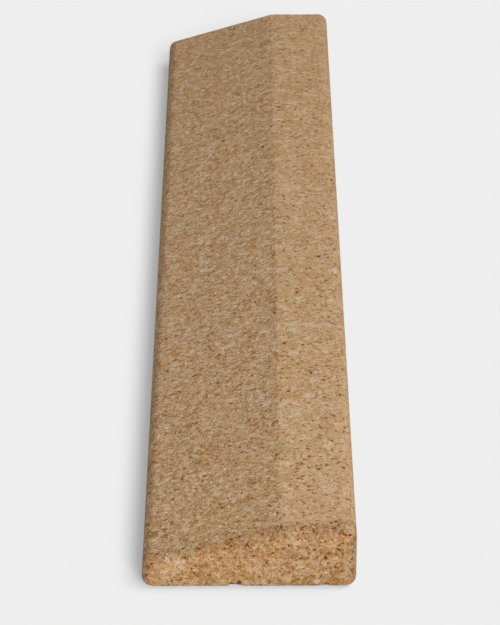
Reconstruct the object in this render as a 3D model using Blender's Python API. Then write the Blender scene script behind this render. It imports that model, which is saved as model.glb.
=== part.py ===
"""Cork yoga wedge: one solid block of pressed cork granules, cut to a ramp that rises to a flat deck.

The block is a five-sided profile run along its length, a little wider at its foot than at its top.
Every outside edge is rounded over: the four long edges, the crease between ramp and deck by less,
and all round both ends, where the rounding is a little shorter along the block than it is deep.

Frame: metres, +X from the thin toe to the thick heel, +Y along the length, +Z up. The origin is the
middle of the underside.
"""

import math

import bmesh
import bpy
from mathutils import Vector

# Driving dimensions, in metres.
LENGTH = 0.500
TOP_WIDTH = 0.120
SIDE_FLARE = 0.0016
HEEL_HEIGHT = 0.050
TOE_HEIGHT = 0.024
DECK_WIDTH = 0.042
EDGE_RADIUS = 0.007
CREASE_RADIUS = 0.003
END_ROUNDING = 0.005

# Facets in a quarter turn of rounding, and the fewest on a shallow bend such as the crease.
QUARTER_STEPS = 8
FEWEST_STEPS = 2

# Points nearer than this are one point, where a rounding closes on the flat end.
MERGE_DISTANCE = 1e-7

CORK_COLOUR = (0.47, 0.29, 0.155, 1.0)
CORK_ROUGHNESS = 0.88


def clear_scene():
    for old in list(bpy.data.objects):
        bpy.data.objects.remove(old)


def sharp_profile():
    """The corners of the cross-section before rounding, as (x, z), anticlockwise seen from -Y.

    Each side stands further out at its foot, by SIDE_FLARE. Each corner comes with its radius.
    """
    toe_side = -TOP_WIDTH / 2
    heel_side = TOP_WIDTH / 2
    return [
        (Vector((toe_side - SIDE_FLARE, 0.0)), EDGE_RADIUS),
        (Vector((heel_side + SIDE_FLARE, 0.0)), EDGE_RADIUS),
        (Vector((heel_side, HEEL_HEIGHT)), EDGE_RADIUS),
        (Vector((heel_side - DECK_WIDTH, HEEL_HEIGHT)), CREASE_RADIUS),
        (Vector((toe_side, TOE_HEIGHT)), EDGE_RADIUS),
    ]


def outward_angles(corners):
    """For each side of the profile, the direction that its face looks in, as an angle from +X."""
    angles = []
    for start, end in zip(corners, corners[1:] + corners[:1]):
        along = end - start
        angles.append(math.atan2(-along.x, along.y))
    return angles


def turn_between(before, after):
    """The anticlockwise turn from one outward angle to the next, in radians."""
    return (after - before) % math.tau


def toward(angle):
    return Vector((math.cos(angle), math.sin(angle)))


def rounded_section(inset):
    """The rounded profile with every side moved in by `inset`, which takes as much off each radius."""
    profile = sharp_profile()
    angles = outward_angles([corner for corner, radius in profile])
    points = []
    for i, (corner, radius) in enumerate(profile):
        start = angles[i - 1]
        turn = turn_between(start, angles[i])
        reach = max(radius, inset) / math.cos(turn / 2)
        centre = corner - toward(start + turn / 2) * reach
        steps = max(FEWEST_STEPS, round(turn / (math.pi / 2) * QUARTER_STEPS))
        for step in range(steps + 1):
            angle = start + turn * step / steps
            points.append(centre + toward(angle) * max(radius - inset, 0.0))
    return points


def stations():
    """Where the block is sectioned along +Y, as (y, inset): a quarter of an ellipse at each end."""
    centre_y = LENGTH / 2 - END_ROUNDING
    far_end = []
    for step in range(QUARTER_STEPS + 1):
        angle = math.pi / 2 * step / QUARTER_STEPS
        far_end.append((centre_y + END_ROUNDING * math.sin(angle), EDGE_RADIUS * (1 - math.cos(angle))))
    near_end = [(-y, inset) for y, inset in reversed(far_end)]
    return near_end + far_end


def middle_of_reach(section):
    """Halfway between the outermost points of a section on the toe side and on the heel side."""
    return (min(point.x for point in section) + max(point.x for point in section)) / 2


def wedge_mesh():
    middle = middle_of_reach(rounded_section(0.0))
    shape = bmesh.new()
    rings = []
    for y, inset in stations():
        section = rounded_section(inset)
        rings.append([shape.verts.new((point.x - middle, y, point.y)) for point in section])
    for near, far in zip(rings, rings[1:]):
        for i in range(len(near)):
            after = (i + 1) % len(near)
            shape.faces.new((near[i], near[after], far[after], far[i]))
    shape.faces.new(list(reversed(rings[0])))
    shape.faces.new(rings[-1])
    bmesh.ops.remove_doubles(shape, verts=shape.verts, dist=MERGE_DISTANCE)
    bmesh.ops.recalc_face_normals(shape, faces=shape.faces)
    mesh = bpy.data.meshes.new("cork_wedge")
    shape.to_mesh(mesh)
    shape.free()
    mesh.shade_smooth()
    return mesh


def cork_material():
    material = bpy.data.materials.new("pressed_cork")
    material.use_nodes = True
    surface = material.node_tree.nodes["Principled BSDF"]
    surface.inputs["Base Color"].default_value = CORK_COLOUR
    surface.inputs["Roughness"].default_value = CORK_ROUGHNESS
    surface.inputs["Metallic"].default_value = 0.0
    return material


def add_wedge():
    wedge = bpy.data.objects.new("cork_wedge", wedge_mesh())
    wedge.data.materials.append(cork_material())
    bpy.context.scene.collection.objects.link(wedge)
    # Keeps the flat faces shading flat where the roundings run into them.
    flats = wedge.modifiers.new("flat_faces_stay_flat", "WEIGHTED_NORMAL")
    flats.keep_sharp = True
    return wedge


clear_scene()
add_wedge()
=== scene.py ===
import math

import bpy
from mathutils import Matrix, Vector


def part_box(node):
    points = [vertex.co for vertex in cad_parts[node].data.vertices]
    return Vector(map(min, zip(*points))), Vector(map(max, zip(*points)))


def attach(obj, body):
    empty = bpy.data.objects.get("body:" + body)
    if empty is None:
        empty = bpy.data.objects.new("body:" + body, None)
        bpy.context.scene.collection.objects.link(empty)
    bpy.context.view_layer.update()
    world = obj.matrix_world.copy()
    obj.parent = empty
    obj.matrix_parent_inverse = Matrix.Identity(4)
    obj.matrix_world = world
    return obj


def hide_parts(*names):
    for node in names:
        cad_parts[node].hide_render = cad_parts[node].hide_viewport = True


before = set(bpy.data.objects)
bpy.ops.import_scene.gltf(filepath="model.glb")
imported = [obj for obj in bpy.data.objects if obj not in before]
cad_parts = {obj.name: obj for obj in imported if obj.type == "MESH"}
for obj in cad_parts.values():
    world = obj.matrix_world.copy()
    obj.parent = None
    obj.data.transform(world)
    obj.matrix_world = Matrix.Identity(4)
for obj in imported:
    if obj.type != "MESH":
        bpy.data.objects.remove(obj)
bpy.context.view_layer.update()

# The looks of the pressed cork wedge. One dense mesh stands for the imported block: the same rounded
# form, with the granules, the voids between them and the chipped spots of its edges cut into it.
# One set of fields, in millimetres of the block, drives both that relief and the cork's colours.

MM = 0.001

LOW, HIGH = (Vector(corner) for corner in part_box("cork_wedge"))

# The block's sides, in millimetres: along X the toe and the heel, along Y its ends.
TOE, HEEL = LOW.x / MM, HIGH.x / MM
NEAR_END, FAR_END = LOW.y / MM, HIGH.y / MM
TOP = HIGH.z / MM

# Where the flat deck begins, in millimetres: the toe-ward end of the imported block's full height. The
# long faces change from ramp to deck between these distances from there.
FULL_HEIGHT_WITHIN = 0.01 * MM
DECK_STARTS = min(vertex.co.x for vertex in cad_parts["cork_wedge"].data.vertices
                  if vertex.co.z > HIGH.z - FULL_HEIGHT_WITHIN) / MM
DECK_BLEND = (-0.8, 0.4)

# The mesh: the pitch that it is first cut at, and the share of faces kept where it is plain.
CUT_PITCH = 0.7 * MM
FACES_KEPT = 0.265

# Relief, in millimetres below the block's smooth surface. A granule lies up to one step lower than its
# neighbour, and a crevice is open as far as this from the granule's edge.
STEP_DEPTH = 0.03
CREVICE_DEPTH = 0.10
CREVICE_WIDTH = 0.40
VOID_DEPTH = 0.8
CHIP_DEPTH = 0.9

# The camera, set by matching the block's outline in a frame of 500 x 625 pixels.
FRAME_HEIGHT_PX = 625
FOCAL_LENGTH_PX = 1669.185
CAMERA_PLACE = Vector((0.00101, -0.81417, 0.78595))
CAMERA_PITCH = 0.78343
CAMERA_YAW = -0.00004
CAMERA_ROLL = -0.00303
SENSOR_MM = 36.0

# Light: shares of the full level, at which a face renders as its colour is written.
SKY_LEVEL = 0.12
TOP_LEVEL = 0.48
TOP_FROM = Vector((0.42, -0.11, 0.91))
FRONT_LEVEL = 0.69
FRONT_FROM = Vector((0.42, -0.91, 0.91))
LAMP_SPREAD = math.radians(30)

# The floor: its colour, the share of it that shows that colour whatever light falls there, how far it
# reaches, and its gap to the block.
FLOOR_COLOUR = 0.846
FLOOR_SHOWN_PLAIN = 0.36
FLOOR_REACH = 20.0
FLOOR_GAP = 0.2 * MM

# Noises and chances run from 0 to 1, about this middle.
MIDDLE = 0.5

# These noises and sets of holes are read this far aside, in millimetres, so that no two are alike.
ASIDE = {"crevices": (50, 0, 0), "voids": (90, 20, 0), "specks": (10, 60, 5), "end_border": (0, 40, 0),
         "granule_lines": (0, 0, 70), "plate_gaps": (0, 30, 0), "scuff_patches": (70, 0, 0)}


def linear(red, green, blue):
    """A colour written as screen values of 0 to 255, as the linear colour that a shader takes."""
    shares = [value / 255 for value in (red, green, blue)]
    return (*[s / 12.92 if s <= 0.04045 else ((s + 0.055) / 1.055) ** 2.4 for s in shares], 1.0)


class Graph:
    """Adds nodes to a shader tree or a geometry tree, and wires each as it is made."""

    def __init__(self, tree):
        self.tree = tree

    def node(self, kind, inputs=None, **settings):
        made = self.tree.nodes.new(kind)
        for name, value in settings.items():
            setattr(made, name, value)
        for key, value in (inputs or {}).items():
            self.feed(made.inputs[key], value)
        return made

    def feed(self, socket, value):
        if isinstance(value, bpy.types.NodeSocket):
            self.tree.links.new(value, socket)
        else:
            socket.default_value = value

    def math(self, operation, *values):
        return self.node("ShaderNodeMath", dict(enumerate(values)), operation=operation).outputs[0]

    def vector(self, operation, *values):
        made = self.node("ShaderNodeVectorMath", dict(enumerate(values)), operation=operation)
        return made.outputs[0]

    def scaled(self, vector, factor):
        made = self.node("ShaderNodeVectorMath", {0: vector, "Scale": factor}, operation="SCALE")
        return made.outputs[0]

    def split(self, vector):
        return self.node("ShaderNodeSeparateXYZ", {0: vector}).outputs

    def joined(self, x, y, z):
        return self.node("ShaderNodeCombineXYZ", {0: x, 1: y, 2: z}).outputs[0]

    def ramp(self, value, low, high, to_low=0.0, to_high=1.0, smooth=True):
        """Carries value from low..high to to_low..to_high, held at both ends."""
        kind = "SMOOTHSTEP" if smooth else "LINEAR"
        sockets = {"Value": value, "From Min": low, "From Max": high,
                   "To Min": to_low, "To Max": to_high}
        return self.node("ShaderNodeMapRange", sockets, interpolation_type=kind, clamp=True).outputs[0]

    def mix(self, share, first, second):
        """Mixes two numbers."""
        return self.node("ShaderNodeMix", {0: share, 2: first, 3: second}, data_type="FLOAT").outputs[0]

    def mix_vector(self, share, first, second):
        made = self.node("ShaderNodeMix", {0: share, 4: first, 5: second}, data_type="VECTOR")
        return made.outputs[1]

    def noise(self, place, size, detail=2.0, roughness=0.5):
        """Soft noise with features of about size, in the units of place. Gives a number and a vector."""
        sockets = {"Vector": place, "Scale": 1 / size, "Detail": detail, "Roughness": roughness}
        made = self.node("ShaderNodeTexNoise", sockets)
        return made.outputs[0], made.outputs[1]

    def aside(self, place, name):
        return self.vector("ADD", place, ASIDE[name])

    def warped(self, place, size, reach, detail=2.0, roughness=0.6):
        """The place pushed about by soft noise, by up to about half of reach."""
        _, push = self.noise(place, size, detail, roughness)
        return self.vector("ADD", place, self.scaled(self.centred_vector(push), reach))

    def centred(self, value):
        return self.math("SUBTRACT", value, MIDDLE)

    def centred_vector(self, vector):
        return self.vector("SUBTRACT", vector, (MIDDLE, MIDDLE, MIDDLE))

    def cells(self, place, size):
        """Irregular cells of about size: each one's own three chances, and how far its middle is."""
        made = self.node("ShaderNodeTexVoronoi", {"Vector": place, "Scale": 1 / size})
        return made.outputs["Color"], self.math("MULTIPLY", made.outputs["Distance"], size)

    def cell_edges(self, place, size):
        """The distance to the nearest edge of the same cells."""
        made = self.node("ShaderNodeTexVoronoi", {"Vector": place, "Scale": 1 / size},
                         feature="DISTANCE_TO_EDGE")
        return self.math("MULTIPLY", made.outputs["Distance"], size)


# Granules: size in millimetres, and the share of its cells that are one whole granule of that size,
# on the long faces and on the ends. The last size fills what is left. The cells of each size are
# shifted by these multiples of it, so that they don't line up.
GRANULES = ((5.0, 0.30, 0.26), (3.1, 0.50, 0.50), (1.8, 1.0, 1.0))
SIZE_SHIFT = (31, 17, 7)

# Each granule is split into thin plates, lying another way in each one: turned by up to PLATES_TURN, in
# radians, and a little wavy, by a soft noise of the last size and reach.
PLATE_LENGTH = 2.3
PLATE_THICKNESS = 0.85
PLATES_TURN = 31.0
PLATE_WAVES = (0.9, 0.7)

# The growth lines in a plate are this long, in plates, and its faces rise this far in the bump.
PLATE_LINE_SIZE = 0.7
PLATE_RISE = 0.06

# Granules and plates lie longer across the block than along it, by these factors under the ramp and
# under the deck. On the ends they are coarser, by the last, across, along and up.
RAMP_LONG_ACROSS = 2.0
RAMP_SLANT = 0.09
DECK_LONG_ACROSS = 1.7
END_COARSER = (1.35, 1.35, 1.7)

# How the granules' outlines are bent out of plain cells: by a soft noise of this size and reach.
BEND_SIZE = 2.2
BEND_REACH = 2.6

# The coarser face of each end reaches END_REACH in from it at END_BOW_X, and further on both sides of
# that, by END_BOW for each millimetre across. At the far end it reaches less far in, by FAR_END_LESS.
# Its border wanders by half of END_WANDER each way, in bends of END_WANDER_SIZE, and it fades over
# END_BLEND on each side.
END_REACH = 4.7
END_BOW_X = -33.0
END_BOW = 0.075
FAR_END_LESS = 6.0
END_WANDER = 4.5
END_WANDER_SIZE = 6.0
END_BLEND = 1.2

# Crevices open only in patches of this size, where a soft noise passes from the first of these values
# to the second.
CREVICE_PATCH_SIZE = 2.6
CREVICE_OPENS = (0.46, 0.66)

# Round holes, voids and specks alike: how far apart in millimetres, what share of places has one, and
# the least and greatest radius.
VOID_SIZES = (3.4, 0.25, 0.25, 0.80)
SPECK_SIZES = (2.1, 0.40, 0.15, 0.48)

# A hole's wall starts this far outside its radius, and ends inside it at this share of the greatest one.
HOLE_RIM = 0.15
HOLE_WALL = 0.4

# Chips out of the lower edge of the near end: the middle of each along X, half its width and its share
# of the whole depth. All reach this high up and this far in, with sides that slope over some width
# upwards, across and along the block, and that a soft noise of this size and reach makes ragged.
CHIPS = ((-8.0, 4.2, 1.0), (44.2, 2.4, 0.55))
CHIP_TOP = 6.6
CHIP_REACH = 3.0
CHIP_SLOPE_UP = 0.8
CHIP_SLOPE_ACROSS = 1.2
CHIP_SLOPE_ALONG = 1.0
CHIP_RAGGED = (2.5, 3.0)


def cork_fields(graph, place):
    """What the cork is like at a place in the block, given in metres, as named sockets."""
    place = graph.scaled(place, 1 / MM)
    end = end_share(graph, place)
    at_end = graph.math("GREATER_THAN", end, MIDDLE)
    coarser = graph.vector("DIVIDE", place, END_COARSER)
    squeezed = graph.mix_vector(at_end, squeezed_across(graph, place), coarser)
    bent = graph.warped(squeezed, BEND_SIZE, BEND_REACH, detail=3.0)
    chances, edge = granules(graph, bent, end)
    _, tone, hue = graph.split(chances)

    openness, _ = graph.noise(graph.aside(place, "crevices"), CREVICE_PATCH_SIZE, detail=2.0)
    crevice = graph.math("MULTIPLY", graph.ramp(edge, 0.0, CREVICE_WIDTH, 1.0, 0.0),
                         graph.ramp(openness, *CREVICE_OPENS))
    void = holes(graph, graph.aside(bent, "voids"), *VOID_SIZES)
    chip = chips(graph, place)
    depth = graph.math("MULTIPLY", crevice, CREVICE_DEPTH)
    depth = graph.math("MULTIPLY_ADD", hue, STEP_DEPTH, depth)
    depth = graph.math("MULTIPLY_ADD", void, VOID_DEPTH, depth)
    depth = graph.math("MULTIPLY_ADD", chip, CHIP_DEPTH, depth)
    return {"place": place, "bent": bent, "end": end, "chances": chances, "tone": tone, "hue": hue,
            "edge": edge, "void": void, "chip": chip, "depth": depth}


def granules(graph, bent, end):
    """Each granule's three chances, and the distance to its edge. Whole coarse ones cover fine ones."""
    chances, edge = None, None
    for size, whole_share, whole_share_on_ends in reversed(GRANULES):
        shifted = graph.vector("ADD", bent, tuple(size * step for step in SIZE_SHIFT))
        own, _ = graph.cells(shifted, size)
        own_edge = graph.cell_edges(shifted, size)
        if chances is None:
            chances, edge = own, own_edge
            continue
        whole = graph.math("LESS_THAN", graph.split(own)[0],
                           graph.mix(end, whole_share, whole_share_on_ends))
        chances = graph.mix_vector(whole, chances, own)
        edge = graph.mix(whole, graph.math("MINIMUM", edge, own_edge), own_edge)
    return chances, edge


def chips(graph, place):
    """How deep a chip is broken out of the lower edge of the near end, as a share of CHIP_DEPTH."""
    x, y, z = graph.split(graph.warped(place, *CHIP_RAGGED))
    low = graph.ramp(z, CHIP_TOP - CHIP_SLOPE_UP, CHIP_TOP, 1.0, 0.0)
    reach = NEAR_END + CHIP_REACH
    near = graph.ramp(y, reach, reach + CHIP_SLOPE_ALONG, 1.0, 0.0)
    found = None
    for middle, half_width, depth_share in CHIPS:
        off = graph.math("ABSOLUTE", graph.math("SUBTRACT", x, middle))
        one = graph.ramp(off, half_width - CHIP_SLOPE_ACROSS, half_width, depth_share, 0.0)
        found = one if found is None else graph.math("MAXIMUM", found, one)
    return graph.math("MULTIPLY", graph.math("MULTIPLY", low, near), found)


def squeezed_across(graph, place):
    """The place with its width drawn in, by one factor under the ramp and another under the deck.

    Under the ramp it is also slanted, so that what lies long across leans towards the far end.
    """
    x, y, z = graph.split(place)
    from_deck = graph.math("SUBTRACT", x, DECK_STARTS)
    on_deck = graph.math("MAXIMUM", from_deck, 0.0)
    on_ramp = graph.math("MINIMUM", from_deck, 0.0)
    across = graph.math("MULTIPLY", on_deck, 1 / DECK_LONG_ACROSS)
    across = graph.math("MULTIPLY_ADD", on_ramp, 1 / RAMP_LONG_ACROSS, across)
    along = graph.math("MULTIPLY_ADD", on_ramp, -RAMP_SLANT, y)
    return graph.joined(across, along, z)


def end_share(graph, place):
    """1 on the coarse faces of both ends, which reach over the near rounding onto the long faces."""
    x, y, _ = graph.split(place)
    across = graph.math("ABSOLUTE", graph.math("SUBTRACT", x, END_BOW_X))
    to_far_end = graph.math("SUBTRACT", y, FAR_END_LESS)
    nearer = graph.math("MAXIMUM", graph.math("MULTIPLY", y, -1.0), to_far_end)
    along = graph.math("MULTIPLY_ADD", across, END_BOW, nearer)
    wander, _ = graph.noise(graph.aside(place, "end_border"), END_WANDER_SIZE, detail=4.0, roughness=0.7)
    along = graph.math("MULTIPLY_ADD", graph.centred(wander), END_WANDER, along)
    starts = FAR_END - END_REACH
    return graph.ramp(along, starts - END_BLEND, starts + END_BLEND)


def holes(graph, place, apart, share, least, most):
    """Round holes about apart from each other, of radius least to most: 1 within, 0 outside."""
    chances, distance = graph.cells(place, apart)
    chance, breadth, _ = graph.split(chances)
    radius = graph.math("MULTIPLY", graph.ramp(breadth, 0.0, 1.0, least, most, smooth=False),
                        graph.math("LESS_THAN", chance, share))
    return graph.ramp(graph.math("SUBTRACT", distance, radius), -HOLE_WALL * most, HOLE_RIM, 1.0, 0.0)


def relief_tree():
    """Geometry nodes that keep each point's place on the smooth block, then sink it by the relief."""
    tree = bpy.data.node_groups.new("cork_relief", "GeometryNodeTree")
    tree.interface.new_socket("Geometry", in_out="INPUT", socket_type="NodeSocketGeometry")
    tree.interface.new_socket("Geometry", in_out="OUTPUT", socket_type="NodeSocketGeometry")
    graph = Graph(tree)
    smooth = graph.node("NodeGroupInput").outputs[0]
    place = graph.node("GeometryNodeInputPosition").outputs[0]
    kept = graph.node("GeometryNodeStoreNamedAttribute", {"Geometry": smooth, "Name": "smooth_place"},
                      data_type="FLOAT_VECTOR", domain="POINT")
    graph.feed(kept.inputs["Value"], place)
    fields = cork_fields(graph, place)
    outward = graph.node("GeometryNodeInputNormal").outputs[0]
    sunk = graph.scaled(outward, graph.math("MULTIPLY", fields["depth"], -MM))
    moved = graph.node("GeometryNodeSetPosition", {"Geometry": kept.outputs[0], "Offset": sunk})
    out = graph.node("NodeGroupOutput")
    graph.feed(out.inputs[0], moved.outputs[0])
    return tree


def evaluated(piece):
    """The piece's mesh with its modifiers applied."""
    graph = bpy.context.evaluated_depsgraph_get()
    return bpy.data.meshes.new_from_object(piece.evaluated_get(graph))


def cork_block():
    """The block as one dense mesh: cut into fine even faces, sunk by the relief, thinned where plain."""
    draft = bpy.data.objects.new("cork_draft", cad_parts["cork_wedge"].data.copy())
    bpy.context.scene.collection.objects.link(draft)
    cut = draft.modifiers.new("fine_even_faces", "REMESH")
    cut.mode = "VOXEL"
    cut.voxel_size = CUT_PITCH
    relief = draft.modifiers.new("relief", "NODES")
    relief.node_group = relief_tree()
    thin = draft.modifiers.new("fewer_faces_where_plain", "DECIMATE")
    thin.ratio = FACES_KEPT
    mesh = evaluated(draft)
    bpy.data.objects.remove(draft)
    mesh.name = "cork_block"
    mesh.shade_smooth()
    mesh.materials.clear()
    block = bpy.data.objects.new("cork_block", mesh)
    bpy.context.scene.collection.objects.link(block)
    return block


# The cork's colours, by how many screen levels a spot is darker or lighter than the usual tan. On the
# ends they are multiplied by the tint below, which makes them more orange.
TONES = ((-110, (84, 44, 10)), (-60, (136, 90, 40)), (-35, (161, 119, 71)), (-15, (176, 139, 95)),
         (0, (187, 152, 112)), (15, (196, 167, 133)), (35, (206, 186, 160)), (60, (216, 205, 186)))
END_TINT = (0.937, 0.822, 0.70)

# How many screen levels each trait adds, on the ramp and the sides, on the deck, and on the ends. The
# granules' own tones are multiplied by the second row.
# USUAL puts the ramp and sides 5 levels below the deck: partly painted shade, for the light the ramp
# loses past the crease, and partly the deck's own paler skin.
USUAL = (-2.0, 3.0, 11.0)
GRANULE_SPREAD = (0.5, 0.55, 1.3)
PLATE_SPREAD = (52.0, 28.0, 47.0)
PLATE_LINES = (73.0, 50.0, 26.0)
GRAIN = (228.0, 150.0, 150.0)
PLATE_GAPS = (-15.0, -12.0, -40.0)
GRANULE_EDGES = (-65.0, -80.0, -95.0)
SPECKS = (-100.0, -120.0, -95.0)
MOTTLE = (10.0, 11.0, 12.0)

# The same for voids and chips, which are alike on every face. Both are painted shade: they darken the
# hollows that are also sunk into the mesh.
VOID_SHADE = -85.0
CHIP_SHADE = -60.0

# A granule's tone strays from the usual by the first times its chance, centred on 0, and by the second
# times the cube of that, so that most are near the usual and a few are dark or pale.
TONE_STRAYS = 12.0
TONE_STRAYS_CUBED = 90.0

# Sizes of the soft noises, in millimetres: the fine grain, and the mottling in large.
GRAIN_SIZE = 0.38
MOTTLE_SIZE = 14.0

# Where along the block the grain starts and ends growing fainter, and how faint it gets.
GRAIN_FADES = (-50.0, 250.0, 0.1)

# The dark lines between granules and between plates: how wide, and the size of a soft noise and the two
# values of it between which they fade in, so that only stretches of them show.
EDGE_WIDTH = 0.22
EDGE_STRETCHES = 2.0
EDGE_DRAWN = (0.56, 0.61)
GAP_WIDTH = 0.18
GAP_STRETCHES = 1.4
GAP_DRAWN = (0.50, 0.58)

# How much the hue of one granule or plate differs from another, on each face, and in which ways. The
# second way takes a chance of its own, made of two others by these factors.
HUE_SPREAD = (0.95, 0.95, 1.45)
GRANULE_HUE = 0.62
PLATE_HUE = 1.4
WARMER = (0.07, -0.008, -0.13)
PINKER = (0.034, -0.013, 0.072)
RESHUFFLE = (7.0, 5.0)

# What the colour is multiplied by at the near end and at the far end, under the ramp and on the deck.
# Towards the far end it is mostly painted shade, about a fifth darker for light that falls off along the
# block, with a small change of hue besides.
NEAR_TINT = ((1.0, 0.985, 0.95), (0.99, 0.98, 0.96))
FAR_SHADE_AND_TINT = ((0.825, 0.838, 0.91), (0.808, 0.804, 0.807))

# What share of the contrast between spots is left at the far end, on each face, and on the near end's
# rounding, and what share of the dark specks and lines at the far end.
FAR_CONTRAST = (0.98, 1.25, 1.0)
FAR_DARK_SPOTS = 0.5
ROUNDED_CONTRAST = 1.04

# The near end's rounding is darker by this factor: painted shade, which takes back light that the lamps
# throw on the rounding more than on the faces beside it. It counts as rounded between these distances
# from the end: it sets in over the first pair and fades out over the second. Beyond the coarse face,
# only a share of that is left.
ROUNDED_SHADE = 0.80
ROUNDED_FROM = (0.1, 1.2)
ROUNDED_TO = (7.0, 13.0)
ROUNDED_BEYOND = 0.3

# Painted light and shade beside the long edges, as factors, and the distances in from the toe or the
# heel
# over which they change: on the toe's side, painted lighter for the light that the floor throws back on
# it; on its rounding, painted darker for the light it turns away from; where the rounding's shade fades
# out; and on the deck by the heel, painted darker to take back light that the lamps throw there. Those
# of the toe leave out the coarse faces of the ends.
TOE_SIDE_LIGHT = 1.15
TOE_SHADE = 0.80
TOE_ROUNDS = (0.5, 4.0)
TOE_SHADE_ENDS = (4.7, 6.8)
HEEL_SHADE = 0.95
HEEL_SHADE_STARTS = (1.5, 2.5)
HEEL_SHADE_ENDS = (5.5, 7.5)

# Single spots: the middle of each, its radius, and how many levels it is paler, or darker if below 0.
# The last, dark one is painted shade: a crevice at the first chip's edge, painted dark with no hollow
# cut for it. A soft noise of this size and reach makes them ragged, and this share of the radius has the
# full shade.
SPOTS = (((-53.0, -245.2, 25.9), 3.4, 9.0), ((-45.6, -248.5, 26.7), 1.8, 42.0),
         ((-20.3, -227.5, 37.2), 1.7, 22.0), ((35.0, -146.0, 50.0), 3.2, 12.0),
         ((21.0, -214.0, 50.0), 2.4, 12.0), ((-5.4, -250.0, 7.6), 1.6, -110.0))
SPOT_RAGGED = (1.6, 2.2)
SPOT_CORE = 0.7

# A spot paler than the first of these, in levels, begins to lose the ends' orange tint, and one paler
# than the second has none of it.
SPOT_LOSES_TINT = (12.0, 30.0)

# A faint rubbed line across the deck. It wanders by half of SCUFF_WANDER each way, in bends of the size
# that follows, and the middle share of its width is full.
SCUFF_Y = -86.0
SCUFF_HALF_WIDTH = 2.2
SCUFF_WANDER = 8.0
SCUFF_WANDER_SIZE = 8.0
SCUFF_CORE = 0.3
SCUFF_COLOUR = (198, 178, 154)

# It shows in patches of this size: between the first two values of a soft noise it goes from the third
# to the fourth of its strength. It sets in between these depths below the block's top.
SCUFF_PATCH_SIZE = 3.5
SCUFF_PATCHES = (0.40, 0.62, 0.10, 0.65)
SCUFF_SETS_IN = (7.0, 2.0)

# The surface's finish.
ROUGHNESS = 0.86
SPECULAR = 0.12
BUMP_STRENGTH = 0.25


def by_face(graph, fields, values):
    """A number that differs between the ramp and sides, the deck, and the ends."""
    ramp_value, deck_value, end_value = values
    return graph.mix(fields["end"], graph.mix(fields["deck"], ramp_value, deck_value), end_value)


def add_levels(graph, level, fields, values, trait):
    """Adds a trait, from 0 to 1 or centred on 0, to the level, by its values on each face."""
    return graph.math("MULTIPLY_ADD", trait, by_face(graph, fields, values), level)


def cork_material():
    material = bpy.data.materials.new("pressed_cork")
    material.use_nodes = True
    tree = material.node_tree
    tree.nodes.clear()
    graph = Graph(tree)
    kept_place = graph.node("ShaderNodeAttribute", attribute_name="smooth_place")
    fields = cork_fields(graph, kept_place.outputs["Vector"])
    add_wide_fields(graph, fields)
    plates = plate_fields(graph, fields)
    spots = single_spots(graph, fields)
    level = cork_level(graph, fields, plates, spots)
    colour = cork_colour(graph, fields, plates, spots, level)

    height = graph.math("MULTIPLY", fields["depth"], -MM)
    height = graph.math("MULTIPLY_ADD", plates["rise"], PLATE_RISE * MM, height)
    bump = graph.node("ShaderNodeBump", {"Height": height, "Distance": 1.0, "Strength": BUMP_STRENGTH})
    surface = graph.node("ShaderNodeBsdfPrincipled", {"Base Color": colour, "Roughness": ROUGHNESS,
                         "Specular IOR Level": SPECULAR, "Normal": bump.outputs[0]})
    out = graph.node("ShaderNodeOutputMaterial")
    graph.feed(out.inputs["Surface"], surface.outputs[0])
    return material


def add_wide_fields(graph, fields):
    """Adds what changes in large: x and y, the shares of deck and near rounding, and the farness."""
    x, y, _ = graph.split(fields["place"])
    deck_from, deck_to = DECK_BLEND
    fields["x"], fields["y"] = x, y
    fields["deck"] = graph.ramp(x, DECK_STARTS + deck_from, DECK_STARTS + deck_to)
    fields["farness"] = graph.ramp(y, NEAR_END, FAR_END, smooth=False)
    fields["rounded"] = near_rounding(graph, fields)


def near_rounding(graph, fields):
    """1 on the near end's rounding, less beyond the coarse face, 0 on the end and along the block."""
    to_end = graph.math("SUBTRACT", fields["y"], NEAR_END)
    share = graph.math("MULTIPLY", graph.ramp(to_end, *ROUNDED_FROM),
                       graph.ramp(to_end, *ROUNDED_TO, 1.0, 0.0))
    return graph.math("MULTIPLY", share, graph.mix(fields["end"], ROUNDED_BEYOND, 1.0))


def plate_fields(graph, fields):
    """The plates in each granule: their chances, the distance to a plate's edge, and growth lines."""
    wavy = graph.warped(fields["bent"], *PLATE_WAVES)
    axis = graph.centred_vector(fields["chances"])
    angle = graph.math("MULTIPLY", fields["hue"], PLATES_TURN)
    turned = graph.node("ShaderNodeVectorRotate", {"Vector": wavy, "Axis": axis, "Angle": angle},
                        rotation_type="AXIS_ANGLE").outputs[0]
    per_plate = (1 / PLATE_LENGTH, 1 / PLATE_LENGTH, 1 / PLATE_THICKNESS)
    squeezed = graph.vector("MULTIPLY", turned, per_plate)
    chances, _ = graph.cells(squeezed, 1.0)
    edge = graph.math("MULTIPLY", graph.cell_edges(squeezed, 1.0), PLATE_THICKNESS)
    lines, _ = graph.noise(squeezed, PLATE_LINE_SIZE, detail=2.0, roughness=0.6)
    first, second, third = graph.split(chances)
    return {"tone": first, "hue": second, "rise": third, "edge": edge, "lines": lines}


def single_spots(graph, fields):
    """The levels that the single spots add."""
    ragged = graph.warped(fields["place"], *SPOT_RAGGED)
    level = 0.0
    for middle, radius, paler in SPOTS:
        off = graph.node("ShaderNodeVectorMath", {0: ragged, 1: middle}, operation="DISTANCE")
        spot = graph.ramp(off.outputs["Value"], SPOT_CORE * radius, radius, paler, 0.0)
        level = graph.math("ADD", level, spot)
    return level


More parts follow.
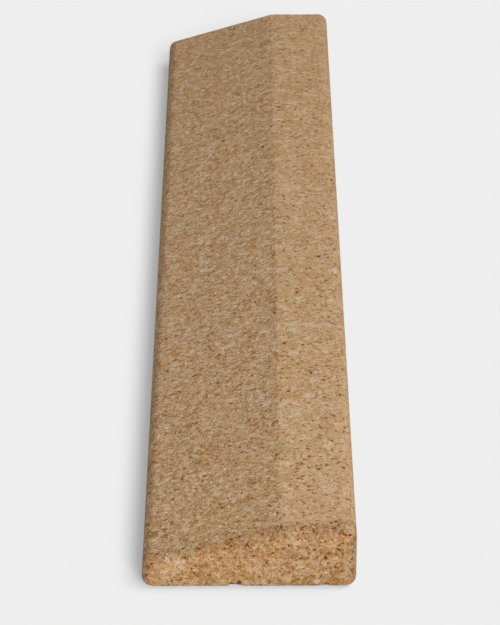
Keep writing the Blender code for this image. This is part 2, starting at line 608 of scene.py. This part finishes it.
def cork_level(graph, fields, plates, spots):
    """How many screen levels a spot is darker or lighter than the usual tan."""
    level = graph.math("MULTIPLY", granule_tone(graph, fields), by_face(graph, fields, GRANULE_SPREAD))
    level = plate_levels(graph, level, fields, plates)
    level = dark_spot_levels(graph, level, fields)
    mottle, _ = graph.noise(fields["place"], MOTTLE_SIZE, detail=2.0)
    level = add_levels(graph, level, fields, MOTTLE, graph.centred(mottle))
    contrast = graph.mix(fields["farness"], 1.0, by_face(graph, fields, FAR_CONTRAST))
    contrast = graph.math("MULTIPLY", contrast, graph.mix(fields["rounded"], 1.0, ROUNDED_CONTRAST))
    level = graph.math("MULTIPLY_ADD", level, contrast, by_face(graph, fields, USUAL))
    level = graph.math("MULTIPLY_ADD", fields["chip"], CHIP_SHADE, level)
    return graph.math("ADD", level, spots)


def granule_tone(graph, fields):
    """Each granule's own tone."""
    spread = graph.centred(fields["tone"])
    cubed = graph.math("MULTIPLY", graph.math("MULTIPLY", spread, spread), spread)
    return graph.math("MULTIPLY_ADD", cubed, TONE_STRAYS_CUBED,
                      graph.math("MULTIPLY", spread, TONE_STRAYS))


def plate_levels(graph, level, fields, plates):
    """Adds the plates' own tones, the dark lines between them, their growth lines and the fine grain."""
    level = add_levels(graph, level, fields, PLATE_SPREAD, graph.centred(plates["tone"]))
    gap = graph.ramp(plates["edge"], 0.0, GAP_WIDTH, 1.0, 0.0)
    drawn, _ = graph.noise(graph.aside(fields["bent"], "plate_gaps"), GAP_STRETCHES, detail=1.0)
    gap = graph.math("MULTIPLY", gap, graph.ramp(drawn, *GAP_DRAWN))
    level = add_levels(graph, level, fields, PLATE_GAPS, gap)
    level = add_levels(graph, level, fields, PLATE_LINES, graph.centred(plates["lines"]))
    grain, _ = graph.noise(fields["bent"], GRAIN_SIZE, detail=1.0, roughness=0.7)
    fades_from, fades_to, faintest = GRAIN_FADES
    grain = graph.math("MULTIPLY", graph.centred(grain),
                       graph.ramp(fields["y"], fades_from, fades_to, 1.0, faintest))
    return add_levels(graph, level, fields, GRAIN, grain)


def dark_spot_levels(graph, level, fields):
    """Adds the dark lines between granules, the specks, and the voids' painted shade. Lines and specks
    fade far away.
    """
    squared = graph.math("MULTIPLY", fields["farness"], fields["farness"])
    left = graph.mix(squared, 1.0, FAR_DARK_SPOTS)
    line = graph.ramp(fields["edge"], 0.0, EDGE_WIDTH, 1.0, 0.0)
    drawn, _ = graph.noise(graph.aside(fields["bent"], "granule_lines"), EDGE_STRETCHES, detail=2.0)
    line = graph.math("MULTIPLY", line, graph.ramp(drawn, *EDGE_DRAWN))
    level = add_levels(graph, level, fields, GRANULE_EDGES, graph.math("MULTIPLY", line, left))
    specks = holes(graph, graph.aside(fields["bent"], "specks"), *SPECK_SIZES)
    level = add_levels(graph, level, fields, SPECKS, graph.math("MULTIPLY", specks, left))
    return graph.math("MULTIPLY_ADD", fields["void"], VOID_SHADE, level)


def cork_colour(graph, fields, plates, spots, level):
    """The colour of that level, with each granule's hue, the faces' tints, the rubbed line, and the
    painted shade towards the far end and along the edges.
    """
    colour = graph.vector("MULTIPLY", tone_colour(graph, level), hue_tint(graph, fields, plates))
    untinted = graph.ramp(spots, *SPOT_LOSES_TINT, smooth=False)
    coarse = graph.math("MULTIPLY", fields["end"], graph.math("SUBTRACT", 1.0, untinted))
    colour = graph.mix_vector(coarse, colour, graph.vector("MULTIPLY", colour, END_TINT))
    colour = graph.mix_vector(scuff_share(graph, fields), colour, linear(*SCUFF_COLOUR)[:3])
    colour = graph.vector("MULTIPLY", colour, painted_far_shade_and_tint(graph, fields))
    return graph.scaled(colour, painted_edge_light_and_shade(graph, fields))


def tone_colour(graph, level):
    lowest, highest = TONES[0][0], TONES[-1][0]
    share = graph.ramp(level, lowest, highest, smooth=False)
    made = graph.node("ShaderNodeValToRGB", {"Fac": share})
    elements = made.color_ramp.elements
    while len(elements) < len(TONES):
        elements.new(MIDDLE)
    for element, (at, colour) in zip(elements, TONES):
        element.position = (at - lowest) / (highest - lowest)
        element.color = linear(*colour)
    return made.outputs[0]


def hue_tint(graph, fields, plates):
    """Each granule and plate has its own share of orange or grey, and of pink or green, as a factor."""
    spread = by_face(graph, fields, HUE_SPREAD)
    tint = (1.0, 1.0, 1.0)
    ways = ((fields["hue"], plates["hue"], WARMER),
            (another_chance(graph, fields), another_chance(graph, plates), PINKER))
    for granule, plate, direction in ways:
        amount = graph.math("MULTIPLY", graph.centred(granule), GRANULE_HUE)
        amount = graph.math("MULTIPLY_ADD", graph.centred(plate), PLATE_HUE, amount)
        amount = graph.math("MULTIPLY", amount, spread)
        amounts = graph.joined(amount, amount, amount)
        tint = graph.vector("MULTIPLY_ADD", amounts, direction, tint)
    return tint


def another_chance(graph, own):
    """One more chance for a granule or a plate, made of its tone and hue."""
    times_hue, times_tone = RESHUFFLE
    mixed = graph.math("MULTIPLY_ADD", own["hue"], times_hue,
                       graph.math("MULTIPLY", own["tone"], times_tone))
    return graph.math("FRACT", mixed)


def scuff_share(graph, fields):
    """How much of the rubbed line shows: most in its middle, and in patches, on the deck alone."""
    place = fields["place"]
    wander, _ = graph.noise(place, SCUFF_WANDER_SIZE, detail=4.0, roughness=0.8)
    off = graph.math("MULTIPLY_ADD", graph.centred(wander), SCUFF_WANDER, fields["y"])
    off = graph.math("ABSOLUTE", graph.math("SUBTRACT", off, SCUFF_Y))
    line = graph.ramp(off, SCUFF_CORE * SCUFF_HALF_WIDTH, SCUFF_HALF_WIDTH, 1.0, 0.0)
    patches, _ = graph.noise(graph.aside(place, "scuff_patches"), SCUFF_PATCH_SIZE, detail=3.0)
    line = graph.math("MULTIPLY", line, graph.ramp(patches, *SCUFF_PATCHES))
    low, high = (TOP - depth for depth in SCUFF_SETS_IN)
    on_top = graph.ramp(graph.split(place)[2], low, high)
    return graph.math("MULTIPLY", line, graph.math("MULTIPLY", fields["deck"], on_top))


def painted_far_shade_and_tint(graph, fields):
    """Painted shade in large: darker and a little greyer towards the far end, for light that falls off
    there.
    """
    near = graph.mix_vector(fields["deck"], *NEAR_TINT)
    far = graph.mix_vector(fields["deck"], *FAR_SHADE_AND_TINT)
    return graph.mix_vector(fields["farness"], near, far)


def painted_edge_light_and_shade(graph, fields):
    """The painted shade on the near rounding, along the toe and by the heel, and the painted light on
    the toe's side, as a factor.
    """
    from_toe = graph.math("SUBTRACT", fields["x"], TOE)
    rounding = graph.ramp(from_toe, *TOE_ROUNDS, TOE_SIDE_LIGHT, TOE_SHADE)
    toe = graph.mix(graph.ramp(from_toe, *TOE_SHADE_ENDS), rounding, 1.0)
    toe = graph.mix(fields["end"], toe, 1.0)
    from_heel = graph.math("SUBTRACT", HEEL, fields["x"])
    by_heel = graph.math("MULTIPLY", graph.ramp(from_heel, *HEEL_SHADE_STARTS),
                         graph.ramp(from_heel, *HEEL_SHADE_ENDS, 1.0, 0.0))
    both = graph.math("MULTIPLY", toe, graph.mix(by_heel, 1.0, HEEL_SHADE))
    return graph.math("MULTIPLY", both, graph.mix(fields["rounded"], 1.0, ROUNDED_SHADE))


def add_camera():
    data = bpy.data.cameras.new("photo_camera")
    data.sensor_width = SENSOR_MM
    data.lens = FOCAL_LENGTH_PX / FRAME_HEIGHT_PX * SENSOR_MM
    camera = bpy.data.objects.new("photo_camera", data)
    bpy.context.scene.collection.objects.link(camera)
    turned = (Matrix.Rotation(-CAMERA_YAW, 4, "Z") @ Matrix.Rotation(math.pi / 2 - CAMERA_PITCH, 4, "X")
              @ Matrix.Rotation(CAMERA_ROLL, 4, "Z"))
    camera.matrix_world = Matrix.Translation(CAMERA_PLACE) @ turned
    bpy.context.scene.camera = camera


def grey(value):
    return (value, value, value, 1.0)


def add_floor():
    mesh = bpy.data.meshes.new("floor")
    reach = FLOOR_REACH
    z = LOW.z - FLOOR_GAP
    corners = [(-reach, -reach, z), (reach, -reach, z), (reach, reach, z), (-reach, reach, z)]
    mesh.from_pydata(corners, [], [(0, 1, 2, 3)])
    mesh.materials.append(floor_material())
    floor = bpy.data.objects.new("floor", mesh)
    bpy.context.scene.collection.objects.link(floor)


def floor_material():
    """A pale floor that takes the block's shadow, part of which shows its plain colour to the camera."""
    material = bpy.data.materials.new("pale_floor")
    material.use_nodes = True
    tree = material.node_tree
    tree.nodes.clear()
    graph = Graph(tree)
    lit = graph.node("ShaderNodeBsdfDiffuse", {"Color": grey(FLOOR_COLOUR)})
    plain = graph.node("ShaderNodeEmission", {"Color": grey(1.0), "Strength": FLOOR_COLOUR})
    share = graph.math("MULTIPLY", seen_directly(graph), FLOOR_SHOWN_PLAIN)
    both = graph.node("ShaderNodeMixShader", {0: share, 1: lit.outputs[0], 2: plain.outputs[0]})
    out = graph.node("ShaderNodeOutputMaterial")
    graph.feed(out.inputs["Surface"], both.outputs[0])
    return material


def seen_directly(graph):
    """1 for what the camera sees, also in a mirror or through glass, and 0 for what only gives light."""
    rays = graph.node("ShaderNodeLightPath").outputs
    bounced = graph.math("MAXIMUM", rays["Is Glossy Ray"], rays["Is Transmission Ray"])
    return graph.math("MAXIMUM", rays["Is Camera Ray"], bounced)


def add_sun(name, level, come_from):
    sun = bpy.data.lights.new(name, "SUN")
    sun.energy = level * math.pi
    sun.angle = LAMP_SPREAD
    lamp = bpy.data.objects.new(name, sun)
    lamp.rotation_euler = come_from.to_track_quat("Z", "Y").to_euler()
    bpy.context.scene.collection.objects.link(lamp)


def add_sky():
    """The studio around the block: a faint even light, which looks as pale as the floor."""
    world = bpy.data.worlds.new("studio")
    world.use_nodes = True
    tree = world.node_tree
    tree.nodes.clear()
    graph = Graph(tree)
    level = graph.mix(seen_directly(graph), SKY_LEVEL, FLOOR_COLOUR)
    sky = graph.node("ShaderNodeBackground", {"Color": grey(1.0), "Strength": level})
    out = graph.node("ShaderNodeOutputWorld")
    graph.feed(out.inputs["Surface"], sky.outputs[0])
    bpy.context.scene.world = world


add_camera()
add_floor()
add_sun("top", TOP_LEVEL, TOP_FROM)
add_sun("front", FRONT_LEVEL, FRONT_FROM)
add_sky()
block = cork_block()
block.data.materials.append(cork_material())
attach(block, "root")
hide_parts("cork_wedge")
# The backdrop takes no colour from the block.
block.visible_diffuse = False
bpy.context.scene.view_settings.view_transform = "Standard"
